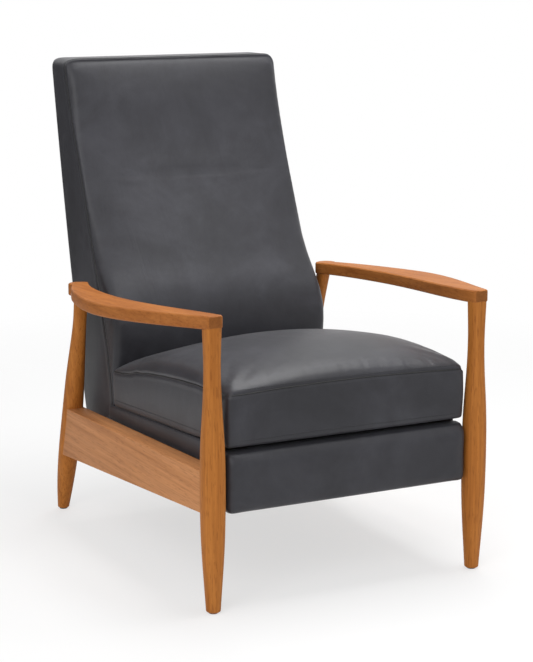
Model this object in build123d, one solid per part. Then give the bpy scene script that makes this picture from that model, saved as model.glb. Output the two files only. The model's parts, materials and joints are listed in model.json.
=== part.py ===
from build123d import *
import math
import os

# Reclining chair with a wooden show frame, a leather back, seat cushion and footrest panel.
# Pushing the back rearwards swings the seat forward and unfolds the footrest.
# Millimetres. +Z is up, the sitter faces -Y, and "left" is -X, the left as seen from in front.
# The origin is on the floor under the middle of the chair. Right-hand pieces are drawn first.

# Legs: heights are above the floor
leg_x = 306.0
front_leg_y = -459.0
leg_top_width = 36.0
leg_sink = 12.0
front_leg_profile = ((58.0, 36.0), (136.0, 45.5), (250.0, 50.0), (367.0, 44.5), (440.0, 34.5), (500.0, 31.5))
front_foot_width = 29.0
front_leg_width = 50.0
rear_leg_profile = (
    (122.0, 323.0, 44.0),
    (267.0, 280.0, 46.0),
    (364.0, 257.0, 39.5),
    (442.0, 234.0, 31.0),
    (500.0, 216.0, 28.5),
)
rear_foot_y = 355.5
rear_foot_width = 26.0
rear_top_y = 204.0
rear_top_splay = 5.0
rear_top_width = 32.0
rear_splay_start = 364.0
round_share = 0.44
square_share = 0.3
foot_ease = 2.5
leg_stations = 11

# Glides under the feet
glide_height = 2.5
glide_diameter = 18.0

# Arms: plan points are offsets out from the legs' centre line, and positions along Y
arm_thickness = 26.5
arm_front_height = 605.6
arm_rear_height = 563.4
arm_sag = 4.0
arm_edge_ease = 2.5
arm_corner_radius = 9.0
arm_outer_bow = ((55.0, -348.0), (93.0, -198.0), (102.0, -98.0), (90.0, 2.0), (67.0, 102.0))
arm_inner_bow = ((3.5, 152.0), (19.0, 52.0), (23.5, -48.0), (14.0, -198.0), (-6.5, -348.0))
arm_rear_outer = (32.0, -11.0)
arm_rear_inner = (-15.0, 7.0)
arm_rear_tip = (-4.0, 21.0)
arm_stations = 16

# Side rails, butted to the legs, and stretchers across the chair
rail_thickness = 42.0
rail_inset = 1.0
rail_bite = 5.0
rail_front_top = 291.3
rail_front_bottom = 206.2
rail_top_fall = 0.0402
rail_bottom_fall = 0.0802
rail_edge_radius = 2.0
front_stretcher_y = -200.0
front_stretcher_z = 211.0
rear_stretcher_y = 270.0
rear_stretcher_z = 161.5
stretcher_depth = 28.0
front_stretcher_height = 38.0
rear_stretcher_height = 26.0

# Running fits and gaps between the steel pieces
pivot_clearance = 0.05
head_clearance = 0.3
plate_gap = 2.0
bracket_gap = 3.0

# Swing links that carry the seat
base_thickness = 3.0
base_half_length = 40.0
base_width = 28.0
swing_thickness = 4.0
swing_width = 18.0
swing_length = 60.0
swing_lean = 22.0
swing_pin_diameter = 10.0
front_swing_base = (-290.0, 206.0)
rear_swing_base = (40.0, 186.0)
base_bolt_offset = 31.0
base_bolt_head_diameter = 12.0
base_bolt_head_height = 3.5

# Seat frame: the deck is the plane that the cushion lies on
deck_height = 305.4
deck_fall = 0.064
seat_front_y = -424.0
seat_rear_y = 117.0
seat_rail_thickness = 22.0
seat_rail_drop = 12.0
seat_rail_front_height = 70.5
seat_rail_rear_height = 60.0
cross_rail_depth = 30.0
front_cross_rail_y = -327.0
front_cross_rail_height = 36.0
rear_cross_rail_height = 44.0
rear_cross_rail_inset = 4.0
front_board_thickness = 9.5
front_board_rear_y = -348.0
front_band_thickness = 2.0
front_band_height = 34.0
front_band_gap = 4.0
deck_cloth_thickness = 1.5
webbing_width = 50.0
webbing_thickness = 2.0
lengthwise_straps = 5
crosswise_straps = 4
strap_pitch = 84.0
band_thickness = 7.5
band_rear_y = 138.0
band_drop = 6.0
seat_bracket_thickness = 4.0
seat_bracket_width = 22.0

# Back hinge and back frame
hinge_y = 164.0
hinge_z = 245.0
hinge_eye_width = 28.0
hinge_pin_diameter = 10.0
hinge_collar_diameter = 18.0
back_bracket_thickness = 4.0
back_bracket_height = 150.0
back_bracket_width = 26.0
post_thickness = 26.0
post_depth = 44.0
post_bottom_z = 228.0
post_top_drop = 42.0
post_top_depth = 42.0
back_rail_height = 45.0
back_rail_thickness = 30.0
back_rail_heights = (300.0, 620.0)
back_strap_heights = (400.0, 490.0, 720.0, 830.0)
back_strap_width = 60.0

# Back upholstery: the profile gives height, side seam and the front panel's swell past the seam
back_side_clearance = 1.0
back_bottom_z = 243.0
back_top_z = 1050.0
back_corner_inset = 14.0
back_front_corner = 18.0
back_corner_share = 0.75
back_rear_corner = 12.0
back_stations = 20
back_rear_bottom_y = 310.0
back_rear_top_y = 486.15
back_rear_bow = 9.0
back_profile = (
    (330.0, 144.0, 22.0),
    (423.0, 166.0, 55.0),
    (485.0, 188.0, 76.0),
    (530.0, 205.0, 68.0),
    (590.0, 228.0, 40.0),
    (690.0, 264.0, 16.0),
    (790.0, 303.0, 10.0),
    (890.0, 346.0, 16.0),
)
back_crown = 8.0
back_bottom_seam_y = 140.0
back_top_seam_y = 399.0
back_bottom_swell = 19.0
back_top_swell = 28.0
back_end_crown = 4.0
cavity_wall = 8.0
cavity_front_gap = 0.5
cavity_top_margin = 8.0
hinge_notch_gap = 4.0
rear_panel_thickness = 6.0
rear_panel_gap = 0.3

# Seat cushion: heights of the side seam, and of the crown above it, at the front, middle and rear
cushion_overhang = 44.0
cushion_middle_y = -165.0
cushion_rear_y = 142.0
cushion_side_swell = 3.0
cushion_waist = 2.5
cushion_front_rounding = 12.0
cushion_stations = 11
cushion_spacing = 1.5
cushion_seams = (440.0, 416.0, 371.0)
cushion_crowns = (29.0, 76.5, 9.0)
cushion_front_crown = 8.0
cushion_shoulder = 33.0
cushion_shoulder_share = 0.615
cushion_rear_middle = 106.0
cushion_rear_corner = 117.0
soft_gap = 0.4

# Footrest linkage: two crossed stages a side, folded down behind the panel
footrest_pivot_y = -359.0
footrest_pivot_drop = 23.376
drop_angle = -100.0
drop_travel = 95.0
rise_angle = 60.0
rise_travel = -40.0
drop_half = 54.0
rise_lower = 58.0
rise_upper = 54.0
guide_tail = 57.0
footrest_plate_thickness = 4.0
footrest_plate_width = 22.0
link_thickness = 4.0
link_width = 16.0
link_pin_diameter = 7.0
pivot_head_diameter = 11.0
pivot_head_height = 1.2
guide_pin_diameter = 8.0
guide_slot_clearance = 0.6

# Footrest panel
panel_drop = 19.35
panel_height = 118.0
panel_depth = 45.0
panel_front_y = -476.0
panel_side_gap = 2.5
panel_corner = 10.0
panel_edge_rounding = 12.0
board_margin = 26.0
board_edge = 12.0
board_thickness = 18.0
bracket_flange_width = 24.0
bracket_flange_thickness = 4.0
bracket_flange_margin = 20.0
screw_head_diameter = 9.0
screw_head_height = 2.5
screws_per_bracket = 2

# Positions across the chair, from the wooden rails inwards
rail_outer_x = leg_x - rail_inset + rail_thickness / 2
rail_inner_x = rail_outer_x - rail_thickness
base_inner_x = rail_inner_x - base_thickness
swing_outer_x = base_inner_x - plate_gap
swing_inner_x = swing_outer_x - swing_thickness
seat_bracket_outer_x = swing_inner_x - bracket_gap
seat_rail_outer_x = seat_bracket_outer_x - seat_bracket_thickness
seat_rail_inner_x = seat_rail_outer_x - seat_rail_thickness
footrest_plate_inner_x = seat_rail_inner_x - footrest_plate_thickness
drop_outer_x = footrest_plate_inner_x - plate_gap
drop_inner_x = drop_outer_x - link_thickness
rise_outer_x = drop_inner_x - plate_gap
rise_inner_x = rise_outer_x - link_thickness
cushion_half_width = seat_rail_outer_x + band_thickness + soft_gap
back_half_width = seat_rail_outer_x - back_side_clearance
panel_half_width = leg_x - front_leg_width / 2 - panel_side_gap
post_outer_x = back_half_width - cavity_wall - cavity_front_gap - back_bracket_thickness
post_inner_x = post_outer_x - post_thickness

def deck(y):
    """Height of the deck, which falls to the rear."""
    return deck_height - deck_fall * y


# Positions along and up the chair
arm_front_y = front_leg_y - leg_top_width / 2
arm_rear_y = rear_top_y + arm_rear_tip[1]
cushion_front_y = seat_front_y - cushion_overhang
cushion_places = (cushion_front_y, cushion_middle_y, cushion_rear_y)
panel_back_y = panel_front_y + panel_depth
panel_bottom_z = deck(cushion_front_y) - panel_drop - panel_height
panel_middle_z = panel_bottom_z + panel_height / 2
footrest_pivot = (footrest_pivot_y, deck(footrest_pivot_y) - footrest_pivot_drop)
post_top_z = back_top_z - post_top_drop
post_top_y = back_rear_top_y - post_top_depth
post_slope = (post_top_y - hinge_y) / (post_top_z - hinge_z)

# How far the middle of a quarter round stays short of its corner, as a share of its size
round_off = 1 - math.sqrt(0.5)


def across(outline, start_x, end_x):
    """Makes an outline drawn in the Y-Z plane solid from one X to another."""
    return extrude(Plane.YZ.offset(start_x) * outline, amount=end_x - start_x)


def polygon(*points):
    """A face in the Y-Z plane through the given corners."""
    return make_face(Polyline(*points, close=True))


def rod(centre, diameter, start_x, end_x):
    """A round bar along X about a point of the Y-Z plane."""
    return across(Pos(*centre) * Circle(diameter / 2), start_x, end_x)


def strap(ends, width, start_x, end_x):
    """A flat steel strip with round ends, about two or more points of the Y-Z plane."""
    discs = [Pos(*end) * Circle(width / 2) for end in ends]
    return across(make_hull([edge for disc in discs for edge in disc.edges()]), start_x, end_x)


def bored(piece, centres, diameter):
    """A piece with holes along X for running pivots."""
    reach = leg_x + rail_thickness
    for centre in centres:
        piece = piece - rod(centre, diameter + 2 * pivot_clearance, 0, reach)
    return piece


def step(start, length, angle):
    """The point at a length from start, with the angle counted from straight ahead upwards."""
    turn = math.radians(angle)
    return (start[0] - length * math.cos(turn), start[1] + length * math.sin(turn))


def other_side(piece):
    return mirror(piece, about=Plane.YZ)


# Wooden frame


def arm_top(y):
    """Height of the arm's top face, which falls to the rear and sags a little."""
    share = (y - arm_front_y) / (arm_rear_y - arm_front_y)
    fall = (arm_rear_height - arm_front_height) * share
    return arm_front_height + fall - 4 * arm_sag * share * (1 - share)


def arm_line(drop):
    """The arm's side curve, a drop below its top face, run out past both ends."""
    ends = (arm_front_y - arm_thickness, arm_rear_y + arm_thickness)
    points = [(y, arm_top(y) - drop) for y in (ends[0], sum(ends) / 2, ends[1])]
    return ThreePointArc(*points)


def band_between(upper, lower):
    """The face between two side curves that run the same way."""
    front = Line(upper @ 0, lower @ 0)
    rear = Line(upper @ 1, lower @ 1)
    return make_face([upper, lower, front, rear])


def arm_side():
    """The arm's side shape, carried across to beyond its widest point."""
    return across(band_between(arm_line(0), arm_line(arm_thickness)), 0, leg_x + 2 * arm_outer_bow[2][0])


def arm_section(outer, inner, drop):
    """The arm cut upright from its outer to its inner edge, with eased corners and a drop at an end."""
    share = arm_edge_ease / math.dist(outer, inner)

    def corner(along, below):
        x = outer[0] + (inner[0] - outer[0]) * along
        y = outer[1] + (inner[1] - outer[1]) * along
        return (x, y, arm_top(y) - below)

    high, low = drop, arm_thickness - drop
    upper, lower = high + arm_edge_ease, low - arm_edge_ease
    top = [corner(share, high), corner(1 - share, high)]
    inside = [corner(1, upper), corner(1, lower)]
    bottom = [corner(1 - share, low), corner(share, low)]
    outside = [corner(0, lower), corner(0, upper)]
    return make_face(Polyline(*top, *inside, *bottom, *outside, close=True))


def arm():
    """A bowed board with round front corners and a round rear tip."""
    half = leg_top_width / 2
    corner = arm_corner_radius
    sections = []
    for setback, inset in rounding_steps(corner):
        y = arm_front_y + setback
        drop = arm_edge_ease * inset / corner
        sections.append(arm_section((leg_x + half - inset, y), (leg_x - half + inset, y), drop))
    outer_rear = (leg_x + arm_rear_outer[0], rear_top_y + arm_rear_outer[1])
    inner_rear = (leg_x + arm_rear_inner[0], rear_top_y + arm_rear_inner[1])
    outer_bow = [(leg_x + out, y) for out, y in arm_outer_bow]
    inner_bow = [(leg_x + out, y) for out, y in reversed(arm_inner_bow)]
    outer = stations([(leg_x + half, arm_front_y + corner), *outer_bow, outer_rear], arm_stations)
    inner = stations([(leg_x - half, arm_front_y + corner), *inner_bow, inner_rear], arm_stations)
    for outside, inside in zip(outer, inner):
        sections.append(arm_section((outside.X, outside.Y), (inside.X, inside.Y), 0))
    tip = ThreePointArc(outer_rear, (leg_x + arm_rear_tip[0], arm_rear_y), inner_rear)
    for share in (0.15, 0.28, 0.38, 0.44):
        outside, inside = tip @ share, tip @ (1 - share)
        sections.append(arm_section((outside.X, outside.Y), (inside.X, inside.Y), 0))
    return loft(sections, ruled=True)


def rounding_steps(radius):
    """Setback and inset of the sections that round off a front edge."""
    angles = [math.radians(angle) for angle in (0, 30, 60)]
    return [(radius * (1 - math.cos(angle)), radius * (1 - math.sin(angle))) for angle in angles]


def stations(points, count):
    """Evenly spaced points along a smooth curve through the given ones."""
    curve = Spline(*points)
    return [curve @ (number / count) for number in range(count + 1)]


def leg(points, splay, top_share):
    """A leg, cut off under the arm, of rounded squares along a curve through y, width and z."""
    rows = [(row.X, row.Y, row.Z) for row in stations(points, leg_stations)]
    foot_y, foot_width, foot_z = rows[0]
    rows.insert(0, (foot_y, foot_width - 2 * foot_ease, foot_z - foot_ease))
    top_z = rows[-1][2]
    outlines = []
    for y, width, z in rows:
        x = leg_x + splay * max(0, (z - rear_splay_start) / (top_z - rear_splay_start)) ** 2
        share = round_share + (top_share - round_share) * (z / top_z) ** 4
        outlines.append(Pos(x, y, z) * RectangleRounded(width, width, share * width))
    return loft(outlines, ruled=True) - arm_side()


def front_leg():
    points = [(front_leg_y, front_foot_width, glide_height + foot_ease)]
    points += [(front_leg_y, width, z) for z, width in front_leg_profile]
    top = arm_top(front_leg_y) - arm_thickness + leg_sink
    points.append((front_leg_y, leg_top_width, top))
    return leg(points, 0, square_share)


def rear_leg():
    points = [(rear_foot_y, rear_foot_width, glide_height + foot_ease)]
    points += [(y, width, z) for z, y, width in rear_leg_profile]
    top = arm_top(rear_top_y) - arm_thickness + leg_sink
    points.append((rear_top_y, rear_top_width, top))
    return leg(points, rear_top_splay, round_share)


def rail_top(y):
    return rail_front_top - rail_top_fall * (y - front_leg_y)


def rail_bottom(y):
    return rail_front_bottom - rail_bottom_fall * (y - front_leg_y)


def rear_leg_line(z):
    """Position of the rear leg's centre line at a height within the rail."""
    (low_z, low_y, _), (high_z, high_y, _) = rear_leg_profile[:2]
    return low_y + (high_y - low_y) * (z - low_z) / (high_z - low_z)


def side_rail(legs):
    """A tapered plank, its ends shaped to the legs."""
    front_y = front_leg_y + rail_bite
    low_y = rear_leg_line(rail_bottom(rear_leg_profile[0][1])) - rail_bite
    high_y = rear_leg_line(rail_top(rear_leg_profile[1][1])) - rail_bite
    outline = polygon(
        (front_y, rail_bottom(front_y)),
        (low_y, rail_bottom(low_y)),
        (high_y, rail_top(high_y)),
        (front_y, rail_top(front_y)),
    )
    plank = across(outline, rail_inner_x, rail_outer_x)
    long_edges = [edge for edge in plank.edges() if edge.length > abs(front_leg_y)]
    plank = fillet(long_edges, rail_edge_radius)
    for shaped_leg in legs:
        plank = plank - shaped_leg
    return plank


def stretcher(y, z, height):
    """A cross bar between the two side rails."""
    bar = Box(2 * rail_inner_x, stretcher_depth, height)
    return Pos(0, y, z) * bar


def foot_glides():
    disc = Cylinder(glide_diameter / 2, glide_height, align=(Align.CENTER, Align.CENTER, Align.MIN))
    places = [(side * leg_x, y) for side in (-1, 1) for y in (front_leg_y, rear_foot_y)]
    return Compound([Pos(x, y, 0) * disc for x, y in places])


# Swing links under the seat


def swing_top(base):
    """Upper pivot of a swing link at rest, leaning to the rear."""
    return step(base, swing_length, 90 + swing_lean)


def hexagon(centre, diameter, start_x, end_x):
    """A six-sided head or spacer along X about a point of the Y-Z plane."""
    return across(Pos(*centre) * RegularPolygon(diameter / 2, 6), start_x, end_x)


def swing_bases():
    """Two steel plates on the wooden rail's inner face, each with its bolts' heads."""
    plates = []
    for y, z in (front_swing_base, rear_swing_base):
        ends = ((y - base_half_length, z), (y + base_half_length, z))
        plate = bored(strap(ends, base_width, base_inner_x, rail_inner_x), [(y, z)], swing_pin_diameter)
        for offset in (-base_bolt_offset, base_bolt_offset):
            head_x = base_inner_x - base_bolt_head_height
            plate = plate + hexagon((y + offset, z), base_bolt_head_diameter, head_x, base_inner_x)
        plates.append(plate)
    return plates


def swing_link(base):
    """A link with a pin out to its base and a pin in to the seat bracket."""
    top = swing_top(base)
    body = strap((base, top), swing_width, swing_inner_x, swing_outer_x)
    base_pin = rod(base, swing_pin_diameter, swing_outer_x, rail_inner_x - head_clearance)
    seat_pin = rod(top, swing_pin_diameter, seat_rail_outer_x + head_clearance, swing_inner_x)
    return body + base_pin + seat_pin


# Seat


def deck_slab(front_y, rear_y, top_drop, thickness, start_x, end_x):
    """A board or strap that lies along the deck, its top a drop below it."""
    outline = polygon(
        (front_y, deck(front_y) - top_drop),
        (rear_y, deck(rear_y) - top_drop),
        (rear_y, deck(rear_y) - top_drop - thickness),
        (front_y, deck(front_y) - top_drop - thickness),
    )
    return across(outline, start_x, end_x)


def seat_rail():
    front_top = deck(seat_front_y) - seat_rail_drop
    rear_top = deck(seat_rear_y) - seat_rail_drop
    outline = polygon(
        (seat_front_y, front_top - seat_rail_front_height),
        (seat_rear_y, rear_top - seat_rail_rear_height),
        (seat_rear_y, rear_top),
        (seat_front_y, front_top),
    )
    return across(outline, seat_rail_inner_x, seat_rail_outer_x)


def front_cross_rail(plates):
    """The rail between the seat rails, notched for the footrest's plates."""
    front = front_cross_rail_y - cross_rail_depth / 2
    end_x = seat_rail_inner_x
    rail = deck_slab(front, front + cross_rail_depth, seat_rail_drop, front_cross_rail_height, -end_x, end_x)
    for plate in plates:
        rail = rail - plate
    return rail


def rear_cross_rail():
    rear = seat_rear_y - rear_cross_rail_inset
    end_x = seat_rail_inner_x
    return deck_slab(rear - cross_rail_depth, rear, seat_rail_drop, rear_cross_rail_height, -end_x, end_x)


def seat_front_board():
    drop = seat_rail_drop - front_board_thickness
    end_x = seat_rail_outer_x
    return deck_slab(seat_front_y, front_board_rear_y, drop, front_board_thickness, -end_x, end_x)


def seat_deck_cloth():
    """The cloth that covers the webbing, laid on the front board."""
    drop = seat_rail_drop - front_board_thickness - deck_cloth_thickness
    end_x = seat_rail_outer_x - soft_gap
    return deck_slab(seat_front_y, seat_rear_y, drop, deck_cloth_thickness, -end_x, end_x)


def seat_front_band():
    """The leather strip on the front board, between the footrest's brackets."""
    front, rear = seat_front_y - front_band_thickness, seat_front_y
    high = deck(rear) - seat_rail_drop + front_board_thickness
    low = high - front_band_height
    outline = polygon((front, low), (rear, low), (rear, high), (front, high))
    half = drop_outer_x - bracket_flange_width - front_band_gap
    return across(outline, -half, half)


def seat_webbing():
    """Straps from the front board to the rear rail, with straps across lying on them."""
    straps = []
    front = front_cross_rail_y - cross_rail_depth / 2
    drop = seat_rail_drop - webbing_thickness
    for count in range(lengthwise_straps):
        middle = (count - (lengthwise_straps - 1) / 2) * strap_pitch
        start_x, end_x = middle - webbing_width / 2, middle + webbing_width / 2
        straps.append(deck_slab(front, seat_rear_y, drop, webbing_thickness, start_x, end_x))
    first = front + cross_rail_depth
    gap = (seat_rear_y - cross_rail_depth - first) / crosswise_straps
    for count in range(crosswise_straps):
        y = first + gap * (count + 0.5) - webbing_width / 2
        level = drop - webbing_thickness
        end_x = seat_rail_outer_x
        straps.append(deck_slab(y, y + webbing_width, level, webbing_thickness, -end_x, end_x))
    return Compound(straps)


def seat_band():
    """The leather band on the outside of the seat rail."""
    front, rear = seat_front_y, band_rear_y
    outline = polygon(
        (front, rail_top(front) - band_drop),
        (rear, rail_top(rear) - band_drop),
        (rear, deck(rear) - soft_gap),
        (front, deck(front) - soft_gap),
    )
    return across(outline, seat_rail_outer_x, seat_rail_outer_x + band_thickness)


def seat_bracket():
    """The long steel plate that hangs the seat on its links and carries the back's hinge."""
    pivots = [swing_top(front_swing_base), swing_top(rear_swing_base)]
    discs = [Pos(*pivot) * Circle(seat_bracket_width / 2) for pivot in pivots]
    discs.append(Pos(hinge_y, hinge_z) * Circle(hinge_eye_width / 2))
    outline = make_hull([edge for disc in discs for edge in disc.edges()])
    plate = across(outline, seat_rail_outer_x, seat_bracket_outer_x)
    plate = bored(plate, pivots, swing_pin_diameter)
    return bored(plate, [(hinge_y, hinge_z)], hinge_pin_diameter)


def back_hinge_pin():
    """A pin with a collar that spaces the back's bracket from the seat's."""
    centre = (hinge_y, hinge_z)
    shaft = rod(centre, hinge_pin_diameter, post_outer_x + head_clearance, seat_bracket_outer_x)
    collar_start = post_outer_x + back_bracket_thickness + head_clearance
    return shaft + hexagon(centre, hinge_collar_diameter, collar_start, seat_rail_outer_x)


def cushion_section(y, inset, waist, seam, crown):
    """The cushion cut across: flat below, swelling sides and a crowned top with full shoulders."""
    half = cushion_half_width - inset - waist
    low = deck(y) + soft_gap + inset
    seam = seam - inset
    middle = (low + seam) / 2
    swell = half + cushion_side_swell
    inner = half - cushion_shoulder
    rise = cushion_shoulder_share * crown
    shoulder = seam + rise
    bend_x = half - round_off * cushion_shoulder
    bend_z = shoulder - round_off * rise
    edges = [
        Line((-half, low), (half, low)),
        ThreePointArc((half, low), (swell, middle), (half, seam)),
        ThreePointArc((half, seam), (bend_x, bend_z), (inner, shoulder)),
        ThreePointArc((inner, shoulder), (0, seam + crown), (-inner, shoulder)),
        ThreePointArc((-inner, shoulder), (-bend_x, bend_z), (-half, seam)),
        ThreePointArc((-half, seam), (-swell, middle), (-half, low)),
    ]
    return Plane.XZ.offset(-y) * make_face(edges)


def room_behind_cushion():
    """The room left for the back's crowned front, in plan, taller than the cushion."""
    side = cushion_half_width + 2 * cushion_side_swell
    rear = cushion_rear_y + cushion_overhang
    front = ThreePointArc((-side, cushion_rear_corner), (0, cushion_rear_middle), (side, cushion_rear_corner))
    edges = [front, Polyline(front @ 1, (side, rear), (-side, rear), front @ 0)]
    return extrude(make_face(edges), amount=2 * cushion_seams[0])


def through_three(places, values, place):
    """The value at a place on the smooth curve through three values."""
    total = 0
    for number in range(3):
        share = values[number]
        for other in range(3):
            if other != number:
                share *= (place - places[other]) / (places[number] - places[other])
        total += share
    return total


def cushion_crown(y):
    """Height of the crown above the side seams, which starts low at the front seam."""
    full = through_three(cushion_places, cushion_crowns, y)
    short = 1 - min(1, (y - cushion_front_y) / cushion_shoulder)
    return full - (cushion_crowns[0] - cushion_front_crown) * short**2


def seat_cushion():
    """A box cushion with a crown and a rounded front, its rear shaped to the back."""
    rows = [(cushion_front_y + setback, inset) for setback, inset in rounding_steps(cushion_front_rounding)]
    full = cushion_front_y + cushion_front_rounding
    for number in range(cushion_stations + 1):
        rows.append((full + (cushion_rear_y - full) * (number / cushion_stations) ** cushion_spacing, 0))
    sections = []
    for y, inset in rows:
        waist = through_three(cushion_places, (0, cushion_waist, 0), y)
        seam = through_three(cushion_places, cushion_seams, y)
        sections.append(cushion_section(y, inset, waist, seam, cushion_crown(y)))
    return loft(sections, ruled=True) - room_behind_cushion()


# Back


def back_rear(z):
    """Position of the back's rear face, a plane that bows out a little."""
    share = (z - back_bottom_z) / (back_top_z - back_bottom_z)
    plane = back_rear_bottom_y + (back_rear_top_y - back_rear_bottom_y) * share
    return plane + 4 * back_rear_bow * share * (1 - share)


def back_section(z, inset, seam_y, swell, crown, rear_inset=0.0):
    """The back cut level: flat rear, straight sides and a front that swells past its seam."""
    half = back_half_width - inset
    rear = back_rear(z) - rear_inset
    corner = back_rear_corner
    front = seam_y - swell
    front_corner = min(back_front_corner, back_corner_share * swell)
    side_y = front + front_corner
    bend_y = front + round_off * front_corner
    bend_x = half - round_off * front_corner
    front_half = half - front_corner
    edges = [
        Line((-half + corner, rear), (half - corner, rear)),
        RadiusArc((half - corner, rear), (half, rear - corner), corner),
        Line((half, rear - corner), (half, seam_y)),
        Line((half, seam_y), (half, side_y)),
        ThreePointArc((half, side_y), (bend_x, bend_y), (front_half, front)),
        ThreePointArc((front_half, front), (0, front - crown), (-front_half, front)),
        ThreePointArc((-front_half, front), (-bend_x, bend_y), (-half, side_y)),
        Line((-half, side_y), (-half, seam_y)),
        Line((-half, seam_y), (-half, rear - corner)),
        RadiusArc((-half, rear - corner), (-half + corner, rear), corner),
    ]
    return Pos(0, 0, z) * make_face(edges)


def back_outer_form():
    """The whole outside of the upholstered back."""
    inset = back_corner_inset
    shoulder = back_top_z - 1.5 * inset
    points = [(back_bottom_seam_y, back_bottom_swell, back_bottom_z)]
    points += [(seam_y, swell, z) for z, seam_y, swell in back_profile]
    points.append((back_top_seam_y - post_slope * 1.5 * inset, back_top_swell, shoulder))
    sections = []
    for row in stations(points, back_stations):
        share = (row.Z - back_bottom_z) / (shoulder - back_bottom_z)
        crown = back_end_crown + (back_crown - back_end_crown) * 4 * share * (1 - share)
        sections.append(back_section(row.Z, 0, row.X, row.Y, crown))
    for drop, share in ((inset, 0.04), (inset / 2, 0.2), (inset / 8, 0.55), (0, 1.0)):
        seam_y = back_top_seam_y - post_slope * drop
        tuck = share * inset
        sections.append(back_section(back_top_z - drop, tuck, seam_y, back_top_swell, back_end_crown, tuck / 3))
    return loft(sections, ruled=True)


def post_face(z, offset):
    """A point of the back posts' slanted plane, at an offset behind their middle."""
    return (hinge_y + post_slope * (z - hinge_z) + offset, z)


def slanted(low_z, high_z, front_offset, rear_offset, start_x, end_x):
    """A piece of the back frame that follows the posts' slant."""
    outline = polygon(
        post_face(low_z, front_offset),
        post_face(low_z, rear_offset),
        post_face(high_z, rear_offset),
        post_face(high_z, front_offset),
    )
    return across(outline, start_x, end_x)


def back_cavity():
    """The space in the upholstery for the back's frame, open at the rear and below."""
    half = back_half_width - cavity_wall
    front_offset = -post_depth / 2 - webbing_thickness - cavity_front_gap
    top_z = post_top_z + cavity_top_margin
    rear_y = back_rear_top_y + back_rear_corner + back_rear_bow
    outline = polygon(
        post_face(post_bottom_z, front_offset),
        (rear_y, post_bottom_z),
        (rear_y, top_z),
        post_face(top_z, front_offset),
    )
    return across(outline, -half, half)


def hinge_notch():
    """Room in the upholstery's sides for the hinge pins' collars."""
    diameter = hinge_collar_diameter + 2 * hinge_notch_gap
    return rod((hinge_y, hinge_z), diameter, -back_half_width, back_half_width)


def back_rear_panel(back_outer):
    """The outside-back panel that closes the cavity, flush with the rear face."""
    half = back_half_width - cavity_wall - rear_panel_gap
    low, high = back_bottom_z, post_top_z + cavity_top_margin - rear_panel_gap
    heights = (low, (low + high) / 2, high)
    inner = [(back_rear(z) - rear_panel_thickness, z) for z in heights]
    outer = [(y + 3 * rear_panel_thickness, z) for y, z in inner]
    edges = [
        ThreePointArc(*inner),
        Line(inner[2], outer[2]),
        ThreePointArc(*reversed(outer)),
        Line(outer[0], inner[0]),
    ]
    return back_outer & across(make_face(edges), -half, half)


def back_post():
    return slanted(post_bottom_z, post_top_z, -post_depth / 2, post_depth / 2, post_inner_x, post_outer_x)


def back_rails():
    rails = []
    half = back_rail_thickness / 2
    top_rail = post_top_z - back_rail_height / 2
    for z in (*back_rail_heights, top_rail):
        low, high = z - back_rail_height / 2, z + back_rail_height / 2
        rails.append(slanted(low, high, -half, half, -post_inner_x, post_inner_x))
    return rails


def back_webbing():
    """Straps across the front of the posts."""
    straps = []
    rear = -post_depth / 2
    for z in back_strap_heights:
        low, high = z - back_strap_width / 2, z + back_strap_width / 2
        straps.append(slanted(low, high, rear - webbing_thickness, rear, -post_outer_x, post_outer_x))
    return Compound(straps)


def back_bracket():
    """A steel plate on the post's outer face, with the hinge eye at its foot."""
    ends = [(hinge_y, hinge_z), post_face(hinge_z + back_bracket_height, 0)]
    plate = strap(ends, back_bracket_width, post_outer_x, post_outer_x + back_bracket_thickness)
    return bored(plate, ends[:1], hinge_pin_diameter)


# Footrest linkage


def linkage_points():
    """The linkage's pivots at rest: crossing points, and the ends of each link."""
    points = {"pivot": footrest_pivot}
    points["first_cross"] = step(points["pivot"], drop_half, drop_angle)
    points["first_low"] = step(points["first_cross"], drop_half, drop_angle)
    points["guide"] = step(points["first_cross"], -guide_tail, rise_angle)
    points["first_high"] = step(points["first_cross"], rise_lower, rise_angle)
    points["second_cross"] = step(points["first_low"], rise_lower, rise_angle)
    points["second_low"] = step(points["second_cross"], drop_half, drop_angle)
    points["panel_high"] = step(points["second_cross"], rise_upper, rise_angle)
    points["panel_low"] = step(points["panel_high"], drop_half, drop_angle)
    return points


pivots = linkage_points()


def guide_at(share):
    """Where the guide pin stands after a share of the footrest's travel."""
    cross = step(footrest_pivot, drop_half, drop_angle + share * drop_travel)
    return step(cross, -guide_tail, rise_angle + share * rise_travel)


def guide_slot():
    """The curved slot that leads the guide pin, in two arcs."""
    width = guide_pin_diameter + 2 * guide_slot_clearance
    halves = ((0, 0.25, 0.5), (0.5, 0.75, 1))
    arcs = [ThreePointArc(*[guide_at(share) for share in half]) for half in halves]
    return [SlotArc(arc, width) for arc in arcs]


def footrest_plate():
    """The steel plate on the seat rail's inner face, with the pivot's hole and the guide slot."""
    ends = [footrest_pivot, guide_at(0), guide_at(0.5), guide_at(1)]
    plate = strap(ends, footrest_plate_width, footrest_plate_inner_x, seat_rail_inner_x)
    for slot in guide_slot():
        plate = plate - across(slot, footrest_plate_inner_x, seat_rail_inner_x)
    return bored(plate, [footrest_pivot], link_pin_diameter)


def footrest_pivot_pin():
    head_x = drop_inner_x - head_clearance
    shaft = rod(footrest_pivot, link_pin_diameter, head_x, seat_rail_inner_x)
    return shaft + hexagon(footrest_pivot, pivot_head_diameter, head_x - pivot_head_height, head_x)


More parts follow.
